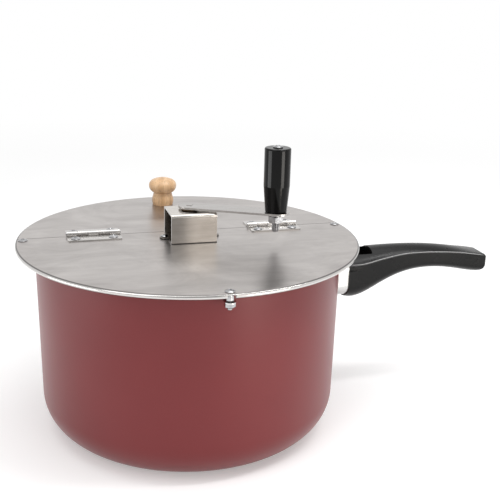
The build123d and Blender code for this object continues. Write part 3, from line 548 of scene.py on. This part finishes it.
def fine_piece(name, master, places, body, materials, node=None):
    """One piece of a master mesh at several places, often in place of a CAD node."""
    pattern = bpy.data.meshes.new("pattern")
    master.to_mesh(pattern)
    grown = bmesh.new()
    for place in places:
        first = len(grown.verts)
        grown.from_mesh(pattern)
        grown.verts.ensure_lookup_table()
        bmesh.ops.transform(grown, matrix=place, verts=grown.verts[first:])
    mesh = bpy.data.meshes.new(name)
    grown.to_mesh(mesh)
    bpy.data.meshes.remove(pattern)
    mesh.shade_smooth()
    mesh.set_sharp_from_angle(angle=math.radians(38))
    for material in materials:
        mesh.materials.append(material)
    piece = bpy.data.objects.new(name, mesh)
    bpy.context.scene.collection.objects.link(piece)
    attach(piece, body)
    if node:
        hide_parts(node)


def fine_pan():
    """Drawn pan with its painted outside and rolled rim, and the dark lining inside."""
    slope = math.atan2(PAN_TAPER, PAN_HEIGHT)

    def corner(inset, floor):
        radius = PAN_CORNER - inset
        level = floor + radius
        wall = PAN_RADIUS - PAN_TAPER * (1 - level / PAN_HEIGHT) - inset
        return arc((wall - radius / math.cos(slope), level), radius, -90, -math.degrees(slope), 24)

    rim = arc((PAN_RADIUS - PAN_WALL + RIM_CURL, PAN_HEIGHT - RIM_CURL), RIM_CURL, -116, 178, 20)
    grown = bmesh.new()
    turned(grown, [(0, 0), *corner(0, 0), *rim], 192)
    turned(grown, [rim[-1], *reversed(corner(PAN_WALL, PAN_FLOOR)), (0, PAN_FLOOR)], 192, 1)
    bmesh.ops.remove_doubles(grown, verts=grown.verts, dist=1e-6)
    looks = [PAN_PAINT, PAN_LINING]
    fine_piece("pan_shell", grown, [Matrix.Identity(4)], "pan", looks, "pan_body")


def small_screw(head_radius, length, threaded=None):
    """Master of a 4 mm screw, threaded all the way unless a threaded length is given."""
    return screw_mesh(
        head_radius, SMALL_HEAD_HEIGHT, SMALL_SHANK, length, threaded or length, SMALL_PITCH)


def small_nut():
    return nut_mesh(SMALL_NUT_FLATS, SMALL_NUT_HEIGHT)


def fasten(name, master, places, body, node=None):
    fine_piece(name, master, places, body, [PLATED], node)


def hinge_fasteners():
    across = [
        centre + end * HINGE_SCREW_SPREAD for centre in (-HINGE_X, HINGE_X) for end in (-1, 1)]
    screw = small_screw(WIDE_HEAD, 0.0062)
    nut = small_nut()
    for label, body, side in (("front", "pan", -1), ("rear", "flap", 1)):
        y = HINGE_Y + side * HINGE_SCREW_SETBACK
        screws = [place_at(x, y, LID_TOP + HINGE_LEAF, 40 + RECESS_DRIFT * x) for x in across]
        fasten(f"{label}_hinge_screws_cut", screw, screws, body, f"{label}_hinge_screws")
        nuts = [place_at(x, y, LID_UNDER) for x in across]
        fasten(f"{label}_hinge_nuts_cut", nut, nuts, body, f"{label}_hinge_nuts")


def bracket_fasteners():
    ears = (-BRACKET_EAR_REACH, BRACKET_EAR_REACH)
    screws = [place_at(x, 0, LID_TOP + BRACKET_GAUGE, 25 + RECESS_DRIFT * x) for x in ears]
    fasten("bracket_screws_cut", small_screw(BRACKET_HEAD, 0.0068), screws, "pan", "bracket_screws")
    nuts = [place_at(x, 0, LID_UNDER) for x in ears]
    fasten("bracket_nuts_cut", small_nut(), nuts, "pan", "bracket_nuts")


def clamp_collar():
    """Plain collar round a clamp screw, between the lid and the clip."""
    grown = bmesh.new()
    waist = COLLAR_RADIUS - COLLAR_BEVEL
    turned(grown, [
        (COLLAR_BORE, -COLLAR_LENGTH), (waist, -COLLAR_LENGTH), (COLLAR_RADIUS, COLLAR_BEVEL - COLLAR_LENGTH),
        (COLLAR_RADIUS, -COLLAR_BEVEL), (waist, 0), (COLLAR_BORE, 0), (COLLAR_BORE, -COLLAR_LENGTH),
    ], 32)
    return grown


def clamp_fasteners():
    rim = [
        Matrix.Rotation(math.radians(angle), 4, "Z") @ Matrix.Translation((CLAMP_RADIUS, 0, 0))
        for angle in CLAMP_ANGLES]
    screws = [place @ place_at(0, 0, LID_TOP, 20 + 30 * i) for i, place in enumerate(rim)]
    fasten("clamp_screws_cut", small_screw(WIDE_HEAD, 0.013), screws, "pan", "lid_clamp_screws")
    nuts = [place @ place_at(0, 0, CLAMP_NUT_LEVEL) for place in rim]
    fasten("clamp_nuts_cut", small_nut(), nuts, "pan", "lid_clamp_nuts")
    fasten("clamp_collars", clamp_collar(), [place @ place_at(0, 0, LID_UNDER) for place in rim], "pan")


def single_fasteners():
    """The screws in the handle's pocket and under the knob."""
    in_pocket = place_at(HANDLE_SCREW_X, 0, HANDLE_SCREW_SEAT, 15)
    handle_screw = screw_mesh(0.0046, 0.0026, 0.0025, 0.0065, 0.0065, 0.0008)
    fasten("handle_screw_cut", handle_screw, [in_pocket], "pan", "handle_screw")
    under_flap = place_at(KNOB_X, KNOB_Y, KNOB_SCREW_SEAT, 10, True)
    fasten("knob_screw_cut", small_screw(WIDE_HEAD, 0.0156, 0.01), [under_flap], "flap", "knob_screw")


def grip_fasteners():
    grip = Matrix.Rotation(math.radians(CRANK_ANGLE), 4, "Z") @ Matrix.Translation((CRANK_REACH, 0, 0))
    bolt = screw_mesh(0.0039, 0.0017, 0.003, 0.0665, 0.018, 0.001)
    fasten("grip_bolt_cut", bolt, [grip @ place_at(0, 0, GRIP_HEAD_SEAT, 20)], "crank", "grip_bolt")
    nut = nut_mesh(0.011, 0.0054)
    fasten("grip_nut_cut", nut, [grip @ place_at(0, 0, ARM_NUT_LEVEL, -21)], "crank", "grip_nut")


HANDLE_ROOT, HANDLE_LEVEL = 0.1313, 0.1287
EDGE_START, EDGE_END, EDGE_STEPS, EDGE_RADIUS = 0.0008, 0.1292, 72, 0.00042
# x from the root and rise of the bevel's middle above the handle's datum
HANDLE_EDGE = [
    (-0.014, -0.0006), (0.0, -0.0006), (0.014, -0.0007), (0.032, 0.0017), (0.053, 0.0038),
    (0.077, 0.0037), (0.103, 0.0018), (0.131, -0.0025), (0.15, -0.006),
]


def edge_rise(x):
    """Rise of the bevel at x from the root: a smooth line through HANDLE_EDGE."""
    for before, start, end, after in zip(HANDLE_EDGE, HANDLE_EDGE[1:], HANDLE_EDGE[2:], HANDLE_EDGE[3:]):
        if x <= end[0]:
            break
    span = end[0] - start[0]
    share = (x - start[0]) / span
    leave = (end[1] - before[1]) / (end[0] - before[0]) * span
    arrive = (after[1] - start[1]) / (after[0] - start[0]) * span
    turn = end[1] - start[1]
    return (start[1] + leave * share + (3 * turn - 2 * leave - arrive) * share**2
            + (leave + arrive - 2 * turn) * share**3)


def handle_edges():
    """A fine bead along the bevel on both sides of the handle, in light grey plastic: a painted highlight
    along the moulding's edge.
    """
    bpy.context.view_layer.update()
    handle = nodes["pan_handle"]
    for side, label in ((-1, "front"), (1, "rear")):
        points = []
        for i in range(EDGE_STEPS + 1):
            x = EDGE_START + (EDGE_END - EDGE_START) * i / EDGE_STEPS
            start = Vector((HANDLE_ROOT + x, side * 0.05, HANDLE_LEVEL + edge_rise(x)))
            struck, place, _, _ = handle.ray_cast(start, Vector((0, -side, 0)))
            if struck:
                points.append(place)
        curve = bpy.data.curves.new(f"handle_{label}_edge", "CURVE")
        curve.dimensions = "3D"
        spline = curve.splines.new("POLY")
        spline.points.add(len(points) - 1)
        for index, (point, place) in enumerate(zip(spline.points, points)):
            point.co = (*place, 1)
            from_end = min(index, len(points) - 1 - index)
            point.radius = min(1.0, 0.2 + 0.2 * from_end)
        curve.bevel_depth = EDGE_RADIUS
        curve.bevel_resolution = 3
        curve.use_fill_caps = True
        curve.materials.append(EDGE_HIGHLIGHT_PLASTIC)
        edge = bpy.data.objects.new(f"handle_{label}_edge", curve)
        bpy.context.scene.collection.objects.link(edge)
        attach(edge, "pan")


fine_pan()
hinge_fasteners()
bracket_fasteners()
clamp_fasteners()
single_fasteners()
grip_fasteners()
handle_edges()


# ---- camera, at the photograph's place ----


PHOTO_FOCAL_LENGTH, PHOTO_WIDTH = 882.5, 500  # pixels
SENSOR_WIDTH = 36.0


def photo_camera():
    """Stands where the photograph was taken: aimed at the lid's centre, then turned a little."""
    place = Vector((-0.1418, -0.6614, 0.3565))
    aim = Vector((0, 0, LID_TOP))
    yaw, pitch, roll = (math.radians(v) for v in (3.93, -0.84, 0.35))
    forward = (aim - place).normalized()
    right = forward.cross(Vector((0, 0, 1))).normalized()
    up = right.cross(forward)
    forward, right = (
        forward * math.cos(yaw) + right * math.sin(yaw),
        right * math.cos(yaw) - forward * math.sin(yaw),
    )
    forward, up = (
        forward * math.cos(pitch) + up * math.sin(pitch),
        up * math.cos(pitch) - forward * math.sin(pitch),
    )
    right, up = (
        right * math.cos(roll) + up * math.sin(roll),
        up * math.cos(roll) - right * math.sin(roll),
    )
    data = bpy.data.cameras.new("photo_camera")
    data.sensor_width = SENSOR_WIDTH
    data.lens = SENSOR_WIDTH * PHOTO_FOCAL_LENGTH / PHOTO_WIDTH
    data.clip_start = 0.01
    camera = bpy.data.objects.new("photo_camera", data)
    turn = Matrix((right, up, -forward)).transposed().to_4x4()
    camera.matrix_world = Matrix.Translation(place) @ turn
    bpy.context.scene.collection.objects.link(camera)
    bpy.context.scene.camera = camera


# ---- floor, world and lamps ----


def share_between(tree, share, a, b):
    """a where the share is 0, b where it is 1."""
    change = math_node(tree, "MULTIPLY", share, math_node(tree, "SUBTRACT", b, a))
    return math_node(tree, "ADD", change, a)


def seen_by_reflection(tree):
    """1 for rays that show a surface in gloss or through glass."""
    path = tree.nodes.new("ShaderNodeLightPath")
    seen = math_node(tree, "ADD", path.outputs["Is Glossy Ray"], path.outputs["Is Transmission Ray"])
    return math_node(tree, "MINIMUM", seen, 1.0)


def seen_by_camera(tree):
    return tree.nodes.new("ShaderNodeLightPath").outputs["Is Camera Ray"]


def seen_directly(tree):
    """1 for rays that show a surface to the camera, straight or by reflection or glass."""
    seen = math_node(tree, "ADD", seen_by_camera(tree), seen_by_reflection(tree))
    return math_node(tree, "MINIMUM", seen, 1.0)


FLOOR_REACH = 6.0
FLOOR_FADE_START, FLOOR_FADE_END = 0.3, 1.6


def studio_floor():
    """Pale floor that keeps the shadow near the part and turns plain white farther out."""
    mesh = bpy.data.meshes.new("studio_floor")
    corners = [(x * FLOOR_REACH, y * FLOOR_REACH, 0) for x, y in ((-1, -1), (1, -1), (1, 1), (-1, 1))]
    mesh.from_pydata(corners, [], [(0, 1, 2, 3)])
    floor = bpy.data.objects.new("studio_floor", mesh)
    bpy.context.scene.collection.objects.link(floor)
    material, tree, shader = new_material("pale_floor")
    set_inputs(shader, Roughness=0.8, Specular_IOR_Level=0.1, Emission_Color=(1, 1, 1, 1))
    here = coordinates(tree)
    tone = ramp(tree, noise(tree, here, 5.0, 2.0, 0.5), [(0.3, 0.80), (0.7, 0.82)])
    tree.links.new(tone, shader.inputs["Base Color"])
    seen = seen_directly(tree)
    tree.links.new(math_node(tree, "MULTIPLY", seen, 0.3), shader.inputs["Emission Strength"])
    glow = tree.nodes.new("ShaderNodeEmission")
    output = next(n for n in tree.nodes if n.type == "OUTPUT_MATERIAL")
    fade = tree.nodes.new("ShaderNodeMixShader")
    far = ramp_between(tree, distance_from(tree, here), FLOOR_FADE_START, FLOOR_FADE_END)
    tree.links.new(math_node(tree, "MULTIPLY", far, seen), fade.inputs["Fac"])
    tree.links.new(shader.outputs["BSDF"], fade.inputs[1])
    tree.links.new(glow.outputs["Emission"], fade.inputs[2])
    tree.links.new(fade.outputs["Shader"], output.inputs["Surface"])
    mesh.materials.append(material)


WORLD_LIGHT = 0.45
ROOM_IN_FRONT = 0.5


def white_world():
    """White to the camera, soft light otherwise.

    Gloss sees a white backdrop and white cards left and right, and a dimmer room in front.
    """
    world = bpy.data.worlds.new("white_studio")
    world.use_nodes = True
    tree = world.node_tree
    background = next(n for n in tree.nodes if n.type == "BACKGROUND")
    background.inputs["Color"].default_value = (1, 1, 1, 1)
    direction = tree.nodes.new("ShaderNodeTexCoord")
    parts = tree.nodes.new("ShaderNodeSeparateXYZ")
    tree.links.new(direction.outputs["Generated"], parts.inputs["Vector"])
    behind = ramp_between(tree, parts.outputs["Y"], -0.1, 0.3)
    beside = ramp_between(tree, math_node(tree, "ABSOLUTE", parts.outputs["X"]), 0.45, 0.95)
    room = remap(tree, math_node(tree, "MAXIMUM", behind, beside), ROOM_IN_FRONT, 1.0)
    lit = share_between(tree, seen_by_reflection(tree), WORLD_LIGHT, room)
    strength = share_between(tree, seen_by_camera(tree), lit, 1.0)
    tree.links.new(strength, background.inputs["Strength"])
    bpy.context.scene.world = world


def soft_lamp(name, place, aim, size, power, colour=(1, 1, 1)):
    data = bpy.data.lights.new(name, "AREA")
    data.shape = "RECTANGLE"
    data.size, data.size_y = size
    data.energy = power
    data.color = colour
    lamp = bpy.data.objects.new(name, data)
    lamp.location = place
    lamp.rotation_euler = (Vector(aim) - Vector(place)).to_track_quat("-Z", "Y").to_euler()
    bpy.context.scene.collection.objects.link(lamp)


photo_camera()
studio_floor()
white_world()
# the two low strips and the low card give the bands of gloss on the grip and the pan
soft_lamp("key_lamp", (-1.1, -0.9, 1.3), (0, 0, 0.08), (1.0, 1.0), 6.4)
soft_lamp("fill_lamp", (1.3, -0.7, 0.9), (0, 0, 0.08), (0.9, 0.9), 0.5)
soft_lamp("left_strip", (-0.687, -0.084, 0.05), (0, 0, 0.09), (0.46, 0.09), 0.65)
soft_lamp("right_strip", (0.497, -0.702, 0.05), (0, 0, 0.09), (0.38, 0.09), 0.8, (1.0, 0.96, 0.9))
soft_lamp("low_card", (0.24, -0.47, 0.035), (0.01, -0.02, 0.165), (0.14, 0.06), 0.17, (1.0, 0.93, 0.82))
soft_lamp("front_card", (0.68, -1.7, 0.62), (0.18, 0, 0.16), (0.9, 0.5), 2.3, (1.0, 0.95, 0.89))
soft_lamp("overhead_box", (0.1, -0.15, 1.5), (0.05, 0.0, 0.1), (1.7, 1.3), 14)
soft_lamp("overhead_strip", (0.9, -0.46, 1.43), (0.9, -0.05, 0.1), (1.2, 0.12), 7)
bpy.context.scene.view_settings.view_transform = "Standard"
